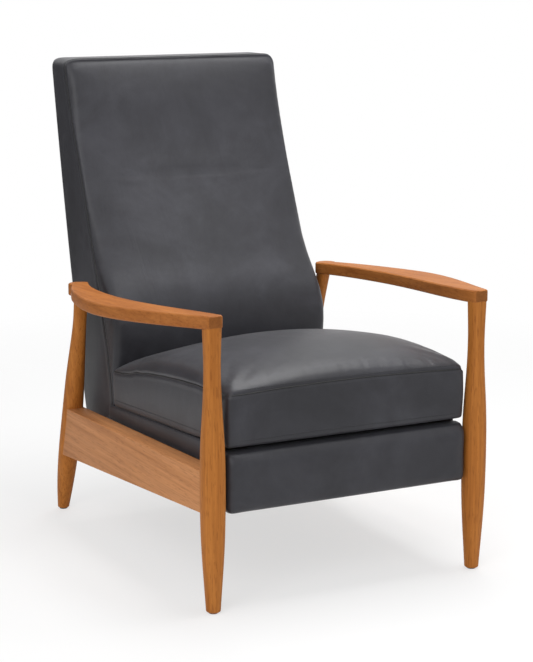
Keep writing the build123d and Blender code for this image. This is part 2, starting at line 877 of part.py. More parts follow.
def drop_link(names, pins):
    """A link in the outer layer, with rivets that point inwards through the inner layer."""
    ends = [pivots[name] for name in names]
    body = strap((ends[0], ends[-1]), link_width, drop_inner_x, drop_outer_x)
    body = bored(body, [pivots[name] for name in names if name not in pins], link_pin_diameter)
    head_x = rise_inner_x - head_clearance
    for name in pins:
        body = body + rod(pivots[name], link_pin_diameter, head_x, drop_inner_x)
    return body


def rise_link(names, pins):
    """A link in the inner layer, with rivets that point outwards through the outer layer."""
    ends = [pivots[name] for name in names]
    body = strap((ends[0], ends[-1]), link_width, rise_inner_x, rise_outer_x)
    body = bored(body, [pivots[name] for name in names[1:] if name not in pins], link_pin_diameter)
    head_x = drop_outer_x + head_clearance
    for name in pins:
        body = body + rod(pivots[name], link_pin_diameter, rise_outer_x, head_x)
    return body


def drive_link():
    return drop_link(("pivot", "first_cross", "first_low"), ("first_cross", "first_low"))


def cross_link():
    return drop_link(("first_high", "second_cross", "second_low"), ("second_low",))


def guide_link():
    """The inner link whose tail runs in the plate's slot."""
    body = rise_link(("guide", "first_cross", "first_high"), ("first_high",))
    return body + rod(pivots["guide"], guide_pin_diameter, rise_outer_x, seat_rail_inner_x - head_clearance)


def lift_link():
    body = rise_link(("first_low", "second_cross", "panel_high"), ("second_cross", "panel_high"))
    return bored(body, [pivots["first_low"]], link_pin_diameter)


def tie_link():
    body = rise_link(("second_low", "panel_low"), ("panel_low",))
    return bored(body, [pivots["second_low"]], link_pin_diameter)


# Footrest panel


def screw_centres():
    """X and Z of the screws in one bracket's flange."""
    low = panel_bottom_z + bracket_flange_margin
    high = panel_bottom_z + panel_height - bracket_flange_margin
    x = drop_outer_x - bracket_flange_width / 2
    pitch = (high - low) / screws_per_bracket
    return [(x, low + pitch * (count + 0.5)) for count in range(screws_per_bracket)]


def footrest_bracket():
    """The panel's hanger: a link in the outer layer, with a flange screwed to the board's back."""
    flange_y = panel_back_y + bracket_flange_thickness
    low = panel_bottom_z + bracket_flange_margin
    high = panel_bottom_z + panel_height - bracket_flange_margin
    discs = [Pos(*pivots[name]) * Circle(link_width / 2) for name in ("panel_high", "panel_low")]
    edge = polygon((panel_back_y, low), (flange_y, low), (flange_y, high), (panel_back_y, high))
    outline = make_hull([line for shape in discs + [edge] for line in shape.edges()])
    web = across(outline, drop_inner_x, drop_outer_x)
    flange = across(edge, drop_outer_x - bracket_flange_width, drop_outer_x)
    piece = bored(web + flange, [pivots["panel_high"], pivots["panel_low"]], link_pin_diameter)
    for x, z in screw_centres():
        head = Plane.XZ.offset(-flange_y - screw_head_height) * Pos(x, z) * RegularPolygon(screw_head_diameter / 2, 6)
        piece = piece + extrude(head, amount=screw_head_height)
    return piece


def board_size():
    return (2 * (panel_half_width - board_margin), board_thickness, panel_height - 2 * board_edge)


def footrest_board():
    """The panel's plywood core."""
    return Pos(0, panel_back_y - board_thickness / 2, panel_middle_z) * Box(*board_size())


def panel_section(y, inset, corner):
    """The padded panel cut upright across the chair."""
    outline = RectangleRounded(2 * (panel_half_width - inset), panel_height - 2 * inset, corner)
    return Plane.XZ.offset(-y) * Pos(0, panel_middle_z) * outline


def footrest_pad():
    """Leather and padding round the board, with a softly crowned front."""
    rounding = panel_edge_rounding
    sections = [
        panel_section(panel_back_y, rounding / 4, panel_corner),
        panel_section(panel_back_y - rounding / 2, 0, panel_corner),
        panel_section(panel_front_y + rounding, 0, panel_corner),
    ]
    for setback, inset in reversed(rounding_steps(rounding)):
        sections.append(panel_section(panel_front_y + setback, inset, panel_corner))
    form = loft(sections, ruled=True)
    width, depth, height = board_size()
    room = Box(width + 2 * soft_gap, depth + soft_gap, height + 2 * soft_gap)
    return form - Pos(0, panel_back_y - (depth + soft_gap) / 2, panel_middle_z) * room


# The pieces, by name

parts = {}


def pair(name, piece):
    """Names a right-hand piece and its mirror image."""
    parts[name + "_right"] = piece
    parts[name + "_left"] = other_side(piece)


def both_sides(name, solids):
    """Names a group of separate small solids with their mirror images."""
    parts[name] = Compound(solids + [other_side(solid) for solid in solids])


front_leg_right = front_leg()
rear_leg_right = rear_leg()
pair("front_leg", front_leg_right)
pair("rear_leg", rear_leg_right)
pair("arm", arm())
pair("side_rail", side_rail((front_leg_right, rear_leg_right)))
parts["front_stretcher"] = stretcher(front_stretcher_y, front_stretcher_z, front_stretcher_height)
parts["rear_stretcher"] = stretcher(rear_stretcher_y, rear_stretcher_z, rear_stretcher_height)
parts["foot_glides"] = foot_glides()
pair("swing_base", Compound(swing_bases()))
pair("front_swing_link", swing_link(front_swing_base))
pair("rear_swing_link", swing_link(rear_swing_base))

pair("seat_rail", seat_rail())
footrest_plate_right = footrest_plate()
parts["seat_front_rail"] = front_cross_rail((footrest_plate_right, other_side(footrest_plate_right)))
parts["seat_rear_rail"] = rear_cross_rail()
parts["seat_front_board"] = seat_front_board()
parts["seat_webbing"] = seat_webbing()
parts["seat_deck_cloth"] = seat_deck_cloth()
parts["seat_front_band"] = seat_front_band()
pair("seat_band", seat_band())
pair("seat_bracket", seat_bracket())
both_sides("back_hinge_pins", [back_hinge_pin()])

back_outer = back_outer_form()
parts["seat_cushion"] = seat_cushion()
parts["back_upholstery"] = back_outer - back_cavity() - hinge_notch()
parts["back_rear_panel"] = back_rear_panel(back_outer)
pair("back_post", back_post())
for name, rail in zip(("back_bottom_rail", "back_middle_rail", "back_top_rail"), back_rails()):
    parts[name] = rail
parts["back_webbing"] = back_webbing()
pair("back_bracket", back_bracket())

pair("footrest_plate", footrest_plate_right)
both_sides("footrest_pivot_pins", [footrest_pivot_pin()])
pair("footrest_drive_link", drive_link())
pair("footrest_guide_link", guide_link())
pair("footrest_lift_link", lift_link())
pair("footrest_cross_link", cross_link())
pair("footrest_tie_link", tie_link())
pair("footrest_bracket", footrest_bracket())
parts["footrest_board"] = footrest_board()
parts["footrest_pad"] = footrest_pad()

os.makedirs("parts", exist_ok=True)
for name, shape in parts.items():
    export_step(shape, f"parts/{name}.step")
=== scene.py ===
import json
import math

import bmesh
import bpy
import numpy as np
from mathutils import Matrix, Vector, noise
from mathutils.bvhtree import BVHTree

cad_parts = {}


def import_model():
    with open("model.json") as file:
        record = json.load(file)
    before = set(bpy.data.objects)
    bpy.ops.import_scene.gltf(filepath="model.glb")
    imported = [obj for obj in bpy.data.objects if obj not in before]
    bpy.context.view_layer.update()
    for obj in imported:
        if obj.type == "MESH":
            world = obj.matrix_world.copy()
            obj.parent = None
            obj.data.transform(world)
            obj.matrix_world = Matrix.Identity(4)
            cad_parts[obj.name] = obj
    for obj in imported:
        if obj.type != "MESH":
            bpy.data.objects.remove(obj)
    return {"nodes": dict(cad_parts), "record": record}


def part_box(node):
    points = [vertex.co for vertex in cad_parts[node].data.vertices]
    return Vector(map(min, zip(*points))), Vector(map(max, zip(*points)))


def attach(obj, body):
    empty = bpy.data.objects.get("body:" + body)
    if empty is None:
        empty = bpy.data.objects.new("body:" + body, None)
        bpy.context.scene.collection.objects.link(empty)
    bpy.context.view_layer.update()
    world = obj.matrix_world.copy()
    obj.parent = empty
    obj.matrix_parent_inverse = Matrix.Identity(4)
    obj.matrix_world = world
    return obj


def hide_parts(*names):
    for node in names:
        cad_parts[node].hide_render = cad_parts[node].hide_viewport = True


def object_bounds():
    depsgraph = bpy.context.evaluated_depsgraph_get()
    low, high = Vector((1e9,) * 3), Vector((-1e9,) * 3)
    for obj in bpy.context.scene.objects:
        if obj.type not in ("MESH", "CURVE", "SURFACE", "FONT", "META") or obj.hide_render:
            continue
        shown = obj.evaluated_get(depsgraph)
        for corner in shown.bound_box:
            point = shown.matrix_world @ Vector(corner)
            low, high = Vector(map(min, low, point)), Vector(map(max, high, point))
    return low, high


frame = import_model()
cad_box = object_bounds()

# Reclining chair: finishes, soft pieces, sewing, floor, lights and camera.
# Metres, in the frame of the CAD model: +Z up, the sitter faces -Y.

# Camera, fitted to the photograph (533 x 662 pixels)
image_height = 662
focal_pixels = 1900.0
sensor_size = 36.0
camera_target = Vector((0.0, -0.098, 0.4797))
camera_distance = 4.1449
camera_azimuth = math.radians(-27.359)
camera_elevation = math.radians(11.425)

# Soft pieces: mesh size, cloth settings, and how far folds may stand out
soft_voxel = 0.007
swell_pressure = 4.0
swell_frames = 20
least_hold = 0.01
fine_rounds, fold_rounds = 2, 60
cushion_cap, back_cap, panel_cap = 0.004, 0.0002, 0.0015
pin_reach = 0.012
facing_gain = 3
underside_start, back_front_start = 1.0, 0.9
cushion_edge_start, cushion_edge_end = 0.012, 0.006
cushion_edge_points, cushion_edge_lean = 24, 6
floor_margin = 0.02
board_recess, board_margin = 0.0025, 0.002
core_rise, core_side, core_front = 0.01, 0.006, 0.004
settle_rounds, back_settle_rounds = 3, 90

# Short folds behind the cushion's front seam
crease_height, crease_reach = 0.0011, 0.06
crease_facing = 0.3
wide_fold, fine_fold = (42, 7, 3.1), (95, 11, 8.3)
fine_fold_lean, fine_fold_share = 4, 0.6

# Small shape changes that the photograph shows, within the soft pieces
panel_stretch_height, panel_stretch = 0.05, 0.009
panel_roll_height, panel_roll_depth = 0.03, 0.008
cushion_sag, cushion_sag_height = 0.0065, 0.03
cushion_sag_inset, cushion_sag_front, cushion_sag_steps = 0.034, 0.009, 2
cushion_sag_depth, cushion_sag_least = 0.2, 0.55
band_drop, band_top_facing = 0.0024, 0.05
back_roll_start, back_roll_depth = 0.955, 0.011
back_crown = 0.006
back_crest_heights = (0.243, 0.33, 0.423, 0.485, 0.53, 0.59, 0.64, 0.69, 0.79, 0.9, 1.05)
back_crest_shifts = (0.0, 0.0, -0.008, -0.010, -0.002, 0.008, 0.0115, 0.0095, 0.003, 0.0, 0.0)

# Seams: back_seam has heights and depths, crest_seam has sides, heights and depths
front_seam_ends, front_seam_crown = 0.4395, 0.0075
front_seam_span, front_seam_points = 0.97, 17
side_seam_drop = 0.0075
back_seam_x = 0.267
back_seam = (
    (0.246, 0.140), (0.330, 0.144), (0.423, 0.166), (0.485, 0.188), (0.530, 0.205), (0.590, 0.228),
    (0.690, 0.264), (0.790, 0.303), (0.890, 0.346), (0.980, 0.377), (1.025, 0.390), (1.0435, 0.396),
)
crest_seam = ((0.255, 1.0475, 0.386), (0.2, 1.0495, 0.381), (0.0, 1.05, 0.379))

# Sewing
seam_radius, seam_lift, seam_spacing, seam_sides = 0.0013, 0.0003, 0.006, 8
seam_depth, seam_reach = 0.0012, 0.003
roll_height, roll_place, roll_width = 0.45, 2.4, 1.1
path_rounds = 3
stitch_length, stitch_pitch = 0.0034, 0.0052
stitch_radius, stitch_sides = 0.00055, 5
stitch_lift, stitch_arch = 0.0001, 0.0002
side_row_inset, side_row_rise = 0.009, 0.002
front_row_inset, front_row_rise = 0.008, 0.004
low_row_rise = 0.014

# Wood
leg_step = 0.005
leg_sides = 40
leg_levels = 12
leg_top_margin = 0.016
leg_run_in = 0.003
foot_ease, foot_ease_shares = 0.0025, (0.3, 1.0)
foot_squareness, front_top_squareness, rear_top_squareness = 2.25, 3.2, 2.4
edge_round, edge_steps = 0.0014, 3
edge_angle, sharp_angle = math.radians(26), math.radians(42)
band_round, front_band_round = 0.0034, 0.0007
ring_dark, ring_light = (0.80, 0.74, 0.66), (1.10, 1.16, 1.26)

# Stage
floor_reach, floor_sides = 3.0, 64
floor_lift = 0.62
fade_start, fade_end = 0.3, 0.9
world_light = 0.48
lamp_target = Vector((0, 0, 0.5))

# Guards against points that coincide
weld_gap, slice_nudge, tiny = 1e-5, 1e-5, 1e-12


def object_of(name, mesh):
    """Makes an object of a mesh and puts it in the scene."""
    made = bpy.data.objects.new(name, mesh)
    bpy.context.collection.objects.link(made)
    return made


def smooth(mesh):
    """Smooth shading with edges kept sharp past an angle."""
    for face in mesh.polygons:
        face.use_smooth = True
    mesh.set_sharp_from_angle(angle=sharp_angle)


def applied(piece):
    """Puts a piece's modifiers into its mesh."""
    graph = bpy.context.evaluated_depsgraph_get()
    graph.update()
    mesh = bpy.data.meshes.new_from_object(piece.evaluated_get(graph))
    old = piece.data
    piece.modifiers.clear()
    piece.data = mesh
    bpy.data.meshes.remove(old)


def points_of(mesh):
    """A mesh's points, one row each."""
    spots = np.zeros(len(mesh.vertices) * 3)
    mesh.vertices.foreach_get("co", spots)
    return spots.reshape(-1, 3)


def put_points(mesh, spots):
    """Moves a mesh's points to new places."""
    mesh.vertices.foreach_set("co", np.asarray(spots, float).ravel())
    mesh.update()


def slice_of(node, axis, place):
    """The points where a solid's edges cross a plane across an axis."""
    mesh = frame["nodes"][node].data
    spots = points_of(mesh)
    ends = np.zeros(len(mesh.edges) * 2, int)
    mesh.edges.foreach_get("vertices", ends)
    first, second = spots[ends[0::2]], spots[ends[1::2]]
    before, after = first[:, axis] - place, second[:, axis] - place
    crossing = before * after < 0
    share = before[crossing] / (before[crossing] - after[crossing])
    return first[crossing] + share[:, None] * (second[crossing] - first[crossing])


def normals_of(mesh):
    """The normal at each of a mesh's points."""
    rays = np.zeros(len(mesh.vertices) * 3)
    mesh.vertices.foreach_get("normal", rays)
    return rays.reshape(-1, 3)


def facing(mesh, axis, sign, start=0.0):
    """How far a mesh faces along an axis (sign is 1) or against it (-1), past a start, from 0 to 1."""
    return np.clip(normals_of(mesh)[:, axis] * sign * facing_gain - start, 0, 1)


# Materials


class Shader:
    """A material's node tree, with short calls to add and join nodes."""

    def __init__(self, name):
        self.material = bpy.data.materials.new(name)
        self.material.use_nodes = True
        self.tree = self.material.node_tree
        self.surface = self.tree.nodes["Principled BSDF"]

    def add(self, kind, **values):
        node = self.tree.nodes.new(kind)
        for key, value in values.items():
            if key in node.inputs:
                node.inputs[key].default_value = value
            else:
                setattr(node, key, value)
        return node

    def join(self, source, target):
        self.tree.links.new(source, target)

    def place(self, scale):
        """Object coordinates, scaled."""
        where = self.add("ShaderNodeTexCoord")
        mapping = self.add("ShaderNodeMapping", Scale=scale)
        self.join(where.outputs["Object"], mapping.inputs["Vector"])
        return mapping.outputs["Vector"]

    def noise(self, vector, scale=1.0, detail=4.0, rough=0.55, distortion=0.0):
        node = self.add(
            "ShaderNodeTexNoise", Scale=scale, Detail=detail, Roughness=rough, Distortion=distortion,
        )
        self.join(vector, node.inputs["Vector"])
        return node.outputs["Fac"]

    def ramp(self, value, *stops):
        """A colour ramp: stops are (position, colour)."""
        node = self.add("ShaderNodeValToRGB")
        elements = node.color_ramp.elements
        while len(elements) < len(stops):
            elements.new(0.5)
        for element, (position, colour) in zip(elements, stops):
            element.position = position
            element.color = (*colour, 1.0)
        self.join(value, node.inputs["Fac"])
        return node.outputs["Color"]

    def mix(self, share, first, second, mode="MIX"):
        """Mixes two colours: each may be a socket or a fixed colour."""
        node = self.add("ShaderNodeMix", data_type="RGBA", blend_type=mode)
        for socket, value in ((node.inputs[0], share), (node.inputs[6], first), (node.inputs[7], second)):
            if hasattr(value, "is_linked"):
                self.join(value, socket)
            elif isinstance(value, float):
                socket.default_value = value
            else:
                socket.default_value = (*value, 1.0)
        return node.outputs[2]

    def maths(self, operation, first, second=0.0):
        node = self.add("ShaderNodeMath", operation=operation)
        for socket, value in zip(node.inputs, (first, second)):
            if hasattr(value, "is_linked"):
                self.join(value, socket)
            else:
                socket.default_value = value
        return node.outputs[0]

    def range(self, value, low, high):
        """Spreads a 0 to 1 value between two limits."""
        node = self.add("ShaderNodeMapRange")
        node.inputs["To Min"].default_value = low
        node.inputs["To Max"].default_value = high
        self.join(value, node.inputs["Value"])
        return node.outputs["Result"]

    def bump(self, height, strength, distance, under=None):
        node = self.add("ShaderNodeBump", Strength=strength, Distance=distance)
        self.join(height, node.inputs["Height"])
        if under is not None:
            self.join(under, node.inputs["Normal"])
        self.join(node.outputs["Normal"], self.surface.inputs["Normal"])
        return node.outputs["Normal"]

    def colour(self, value):
        self.join(value, self.surface.inputs["Base Color"])

    def roughness(self, value):
        self.join(value, self.surface.inputs["Roughness"])


def shade(red, green, blue):
    """A colour given as 0 to 255 screen values."""
    def linear(value):
        share = value / 255
        return share / 12.92 if share <= 0.04045 else ((share + 0.055) / 1.055) ** 2.4
    return (linear(red), linear(green), linear(blue))


def scaled(share, colour):
    """A colour made darker or lighter."""
    return [share * value for value in colour]


def wood(name, along, tone, pore=0.3, shine=0.52, end_grain=0.0):
    """Oiled timber with growth rings, fibres and pores along an axis: 0 is X, 1 is Y, 2 is Z."""
    look = Shader(name)

    def stretched(cross, length):
        scale = [cross, cross, cross]
        scale[along] = length
        return look.place(scale)

    rings = look.noise(stretched(cross=52.0, length=1.3), detail=3.0, rough=0.5, distortion=0.2)
    fibres = look.noise(stretched(cross=230.0, length=5.0), detail=5.0, rough=0.65)
    pores = look.noise(stretched(cross=360.0, length=34.0), detail=2.0, rough=0.5)
    dark = [share * value for share, value in zip(ring_dark, tone)]
    light = [share * value for share, value in zip(ring_light, tone)]
    base = look.ramp(rings, (0.3, dark), (0.5, tone), (0.72, light))
    streak = look.ramp(fibres, (0.3, (0.76, 0.70, 0.64)), (0.64, (1.06, 1.06, 1.06)))
    base = look.mix(share=0.8, first=base, second=streak, mode="MULTIPLY")
    dashes = look.ramp(pores, (0.35, (0.5, 0.42, 0.36)), (0.42, (1.0, 1.0, 1.0)))
    base = look.mix(share=pore, first=base, second=dashes, mode="MULTIPLY")
    if end_grain:
        directions = look.add("ShaderNodeSeparateXYZ")
        look.join(look.add("ShaderNodeNewGeometry").outputs["Normal"], directions.inputs[0])
        square = look.maths("ABSOLUTE", directions.outputs[along])
        cut = look.ramp(square, (0.8, (0, 0, 0)), (0.95, [end_grain] * 3))
        base = look.mix(cut, base, scaled(0.42, tone))
    look.colour(base)
    look.roughness(look.range(fibres, low=shine - 0.05, high=shine + 0.12))
    look.surface.inputs["Specular IOR Level"].default_value = 0.16
    under = look.bump(pores, strength=0.1, distance=0.0003)
    look.bump(fibres, strength=0.08, distance=0.0002, under=under)
    return look.material


def leather(name, base, dark, light):
    """Top-grain leather: cloudy colour, fine pebbled grain and soft creases."""
    look = Shader(name)
    clouds = look.noise(look.place((1, 1, 1)), scale=5.5, detail=6.0, rough=0.62, distortion=0.6)
    blotch = look.noise(look.place((1, 1, 1)), scale=26.0, detail=5.0, rough=0.6)
    colour = look.ramp(clouds, (0.28, dark), (0.5, base), (0.74, light))
    spots = look.ramp(blotch, (0.3, (0.86, 0.86, 0.87)), (0.7, (1.13, 1.13, 1.12)))
    colour = look.mix(share=0.7, first=colour, second=spots, mode="MULTIPLY")
    cells = look.add("ShaderNodeTexVoronoi", feature="DISTANCE_TO_EDGE", Scale=820.0)
    look.join(look.place((1, 1, 1)), cells.inputs["Vector"])
    pebble = look.ramp(cells.outputs["Distance"], (0.0, (0, 0, 0)), (0.16, (1, 1, 1)))
    look.colour(look.mix(share=0.14, first=colour, second=pebble, mode="MULTIPLY"))
    wrinkles = look.noise(look.place((1.0, 0.5, 0.22)), scale=24.0, detail=5.0, rough=0.6, distortion=0.9)
    look.roughness(look.range(blotch, low=0.34, high=0.5))
    look.surface.inputs["Specular IOR Level"].default_value = 0.3
    look.surface.inputs["Sheen Weight"].default_value = 0.07
    look.surface.inputs["Sheen Roughness"].default_value = 0.4
    under = look.bump(wrinkles, strength=0.2, distance=0.004)
    look.bump(pebble, strength=0.1, distance=0.0005, under=under)
    return look.material


def steel(name, colour, rough):
    """Plated steel with fine rolling marks."""
    look = Shader(name)
    marks = look.noise(look.place((30.0, 30.0, 900.0)), detail=3.0)
    look.colour(look.ramp(marks, (0.3, scaled(0.86, colour)), (0.7, scaled(1.1, colour))))
    look.roughness(look.range(marks, low=rough - 0.06, high=rough + 0.08))
    look.surface.inputs["Metallic"].default_value = 1.0
    look.bump(marks, strength=0.06, distance=0.0002)
    return look.material


def woven(name, colour):
    """Elastic webbing with a coarse weave."""
    look = Shader(name)
    waves = []
    for direction in ("X", "Y"):
        wave = look.add("ShaderNodeTexWave", wave_type="BANDS", bands_direction=direction, Scale=130.0)
        look.join(look.place((1, 1, 1)), wave.inputs["Vector"])
        waves.append(wave.outputs["Fac"])
    weave = look.maths("MULTIPLY", *waves)
    look.colour(look.ramp(weave, (0.0, scaled(0.6, colour)), (1.0, scaled(1.15, colour))))
    look.surface.inputs["Roughness"].default_value = 0.85
    look.bump(weave, strength=0.3, distance=0.0008)
    return look.material


def plastic(name, colour):
    """Moulded plastic with a faint texture."""
    look = Shader(name)
    grain = look.noise(look.place((1, 1, 1)), scale=900.0, detail=2.0)
    look.colour(look.ramp(grain, (0.3, scaled(0.85, colour)), (0.7, scaled(1.15, colour))))
    look.surface.inputs["Roughness"].default_value = 0.5
    look.bump(grain, strength=0.1, distance=0.0002)
    return look.material


leg_wood = wood("oiled_wood_legs", 2, shade(182, 114, 50), pore=0.45)
arm_wood = wood("oiled_wood_arms", 1, shade(174, 108, 52), pore=0.4, end_grain=0.6)
rail_wood = wood("oiled_wood_rails", 1, shade(200, 139, 90))
stretcher_wood = wood("oiled_wood_stretchers", 0, shade(200, 139, 90))
cross_wood = wood("plain_wood_across", 0, shade(200, 166, 120), shine=0.55)
post_wood = wood("plain_wood_upright", 2, shade(200, 166, 120), shine=0.55)
# Dark stain for the seat frame: a wood finish that also paints the shade in the gaps around the seat, where
# the frame shows.
stained_wood = wood("stained_wood", 1, shade(46, 42, 38), shine=0.55)
charcoal = leather("charcoal_leather", shade(52, 52, 57), shade(43, 43, 47), shade(64, 64, 70))
thread = plastic("dark_thread", shade(44, 44, 47))
# Near-black cord for the seams: painted shade in their grooves.
seam_shade_cord = plastic("seam_shadow", shade(12, 12, 13))
zinc = steel("zinc_plated_steel", (0.52, 0.53, 0.54), rough=0.38)
black_plastic = plastic("black_glide", shade(34, 34, 34))
webbing = woven("webbing", shade(44, 42, 40))
deck_cloth = woven("deck_cloth", shade(30, 30, 31))


# Wooden frame


def bevelled(node, name, material, width=edge_round):
    """A crisp wooden piece from its solid, with its edges eased."""
    mesh = frame["nodes"][node].data.copy()
    form = bmesh.new()
    form.from_mesh(mesh)
    bmesh.ops.remove_doubles(form, verts=form.verts, dist=weld_gap)
    form.to_mesh(mesh)
    form.free()
    mesh.materials.clear()
    mesh.materials.append(material)
    piece = object_of(name, mesh)
    rounding = piece.modifiers.new("round", "BEVEL")
    rounding.width = width
    rounding.segments = edge_steps
    rounding.limit_method = "ANGLE"
    rounding.angle_limit = edge_angle
    applied(piece)
    smooth(piece.data)
    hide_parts(node)
    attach(piece, "frame")
    return piece


def leg_rows(node):
    """Height, centre and width of a leg's solid at even steps, and its foot and top."""
    low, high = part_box(node)
    rows = []
    for level in np.linspace(low[2] + foot_ease, high[2] - leg_top_margin, leg_levels):
        ring = slice_of(node, 2, level + slice_nudge)
        corner, opposite = ring.min(0), ring.max(0)
        width = max(opposite[0] - corner[0], opposite[1] - corner[1])
        rows.append((level, (corner[0] + opposite[0]) / 2, (corner[1] + opposite[1]) / 2, width))
    return np.array(rows), low[2], high[2]


def leg(node, name, square_top):
    """A smooth leg through the rings of its solid, run a little way into the arm."""
    body, bottom, top = leg_rows(node)
    slope = (body[-1] - body[-2]) / (body[-1][0] - body[-2][0])
    body = np.vstack([body, body[-1] + slope * (top + leg_run_in - body[-1][0])])
    levels = np.linspace(body[0][0], body[-1][0], int((body[-1][0] - body[0][0]) / leg_step))
    smooth_rows = [spline_through(body[:, 0], body[:, column], levels) for column in (1, 2, 3)]
    rings = list(zip(levels, *smooth_rows))
    z, x, y, width = rings[0]
    for share in foot_ease_shares:
        rings.insert(0, (z - share * (z - bottom), x, y, width - 2 * share ** 2 * foot_ease))
    form = bmesh.new()
    loops = []
    for z, x, y, width in rings:
        power = foot_squareness + (square_top - foot_squareness) * (z / top) ** 4
        loop = []
        for number in range(leg_sides):
            angle = 2 * math.pi * number / leg_sides
            cosine, sine = math.cos(angle), math.sin(angle)
            reach_x = math.copysign(abs(cosine) ** (2 / power), cosine) * width / 2
            reach_y = math.copysign(abs(sine) ** (2 / power), sine) * width / 2
            loop.append(form.verts.new((x + reach_x, y + reach_y, z)))
        loops.append(loop)
    for lower, upper in zip(loops, loops[1:]):
        for number in range(leg_sides):
            following = (number + 1) % leg_sides
            form.faces.new((lower[number], lower[following], upper[following], upper[number]))
    form.faces.new(list(reversed(loops[0])))
    form.faces.new(loops[-1])
    mesh = bpy.data.meshes.new(name)
    form.to_mesh(mesh)
    form.free()
    mesh.materials.append(leg_wood)
    smooth(mesh)
    piece = object_of(name, mesh)
    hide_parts(node)
    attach(piece, "frame")


def spline_through(places, values, wanted):
    """A natural cubic spline through values at places, read at the wanted places."""
    count = len(places)
    gaps = np.diff(places)
    matrix = np.eye(count)
    right = np.zeros(count)
    for row in range(1, count - 1):
        matrix[row, row - 1] = gaps[row - 1]
        matrix[row, row] = 2 * (gaps[row - 1] + gaps[row])
        matrix[row, row + 1] = gaps[row]
        slope_after = (values[row + 1] - values[row]) / gaps[row]
        slope_before = (values[row] - values[row - 1]) / gaps[row - 1]
        right[row] = 6 * (slope_after - slope_before)
    bends = np.linalg.solve(matrix, right)
    index = np.clip(np.searchsorted(places, wanted) - 1, 0, count - 2)
    gap = gaps[index]
    after = (wanted - places[index]) / gap
    before = 1 - after
    line = before * values[index] + after * values[index + 1]
    curve = (before ** 3 - before) * bends[index] + (after ** 3 - after) * bends[index + 1]
    return line + curve * gap ** 2 / 6


for side in ("left", "right"):
    leg(f"front_leg_{side}", f"front_leg_wood_{side}", front_top_squareness)
    leg(f"rear_leg_{side}", f"rear_leg_wood_{side}", rear_top_squareness)
    bevelled(f"arm_{side}", f"arm_wood_{side}", arm_wood)
    bevelled(f"side_rail_{side}", f"side_rail_wood_{side}", rail_wood)
for bar in ("front_stretcher", "rear_stretcher"):
    bevelled(bar, f"{bar}_wood", stretcher_wood)


# Soft pieces


def even_form(name, meshes, slope=0.0):
    """One even closed mesh over solids taken together, its cells laid along a slope."""
    form = bmesh.new()
    for mesh in meshes:
        form.from_mesh(mesh)
    form.transform(Matrix.Rotation(-slope, 4, "X"))
    joined = bpy.data.meshes.new(name)
    form.to_mesh(joined)
    form.free()
    piece = object_of(name, joined)
    even = piece.modifiers.new("even", "REMESH")
    even.mode = "VOXEL"
    even.voxel_size = soft_voxel
    applied(piece)
    piece.data.transform(Matrix.Rotation(slope, 4, "X"))
    return piece


def settled(piece):
    """Evens out the small steps that the even mesh leaves."""
    columns = points_of(piece.data).T
    put_points(piece.data, np.transpose([spread(piece.data, column, settle_rounds) for column in columns]))


def spread(mesh, values, rounds):
    """Values evened out among neighbouring points, a number of times over."""
    ends = np.zeros(len(mesh.edges) * 2, int)
    mesh.edges.foreach_get("vertices", ends)
    first, second = ends[0::2], ends[1::2]
    count = len(values)
    neighbours = np.bincount(first, minlength=count) + np.bincount(second, minlength=count)
    for _ in range(rounds):
        total = np.bincount(first, values[second], count) + np.bincount(second, values[first], count)
        values = (values + total / neighbours) / 2
    return values


def swollen(piece, hold, cap):
    """Blows a piece up as cloth, held where hold is 1, and keeps its folds on the first outline."""
    start = points_of(piece.data)
    rays = normals_of(piece.data)
    group = piece.vertex_groups.new(name="sewn")
    for number, weight in enumerate(hold):
        if weight > least_hold:
            group.add([number], float(weight), "REPLACE")
    cloth = piece.modifiers.new("cloth", "CLOTH")
    rules = cloth.settings
    rules.quality = 5
    rules.mass = 0.3
    rules.tension_stiffness = 18
    rules.compression_stiffness = 18
    rules.shear_stiffness = 8
    rules.bending_stiffness = 1.5
    rules.use_pressure = True
    rules.uniform_pressure_force = swell_pressure
    rules.effector_weights.gravity = 0.0
    rules.vertex_group_mass = "sewn"
    rules.pin_stiffness = 1.0
    scene = bpy.context.scene
    for number in range(1, swell_frames + 1):
        scene.frame_set(number)
    applied(piece)
    scene.frame_set(1)
    out = np.sum((points_of(piece.data) - start) * rays, axis=1)
    folds = spread(piece.data, out, fine_rounds) - spread(piece.data, out, fold_rounds)
    folds = cap * np.tanh(folds / cap)
    put_points(piece.data, start + folds[:, None] * rays)
    piece.vertex_groups.clear()


def path_gaps(mesh, paths):
    """Distance of each point of a mesh from the nearest path."""
    spots = points_of(mesh)
    least = np.full(len(spots), 1.0)
    for path in paths:
        for first, second in zip(path, path[1:]):
            first, second = np.array(first), np.array(second)
            run = second - first
            share = np.clip((spots - first) @ run / max(run @ run, tiny), 0, 1)
            gap = np.linalg.norm(spots - first - share[:, None] * run, axis=1)
            least = np.minimum(least, gap)
    return least


def near_paths(mesh, paths, reach):
    """1 within half a reach of the paths, falling to 0 at one and a half."""
    return np.clip(1.5 - path_gaps(mesh, paths) / reach, 0, 1)


def sunk(piece, paths):
    """Draws a piece in along its seams, with a soft roll on either side."""
    mesh = piece.data
    gap = path_gaps(mesh, paths) / seam_reach
    push = roll_height * np.exp(-((gap - roll_place) / roll_width) ** 2) - np.exp(-gap ** 2)
    put_points(mesh, points_of(mesh) + (seam_depth * push)[:, None] * normals_of(mesh))


def finished(piece, nodes, body):
    """Gives a soft piece its leather, a finer mesh and its place in the frame."""
    finer = piece.modifiers.new("finer", "SUBSURF")
    finer.levels = 1
    finer.render_levels = 1
    applied(piece)
    piece.data.materials.clear()
    piece.data.materials.append(charcoal)
    for face in piece.data.polygons:
        face.use_smooth = True
    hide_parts(*nodes)
    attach(piece, body)


def surface_of(piece):
    """A search tree over a piece's mesh."""
    mesh = piece.data
    return BVHTree.FromPolygons([v.co for v in mesh.vertices], [f.vertices for f in mesh.polygons])


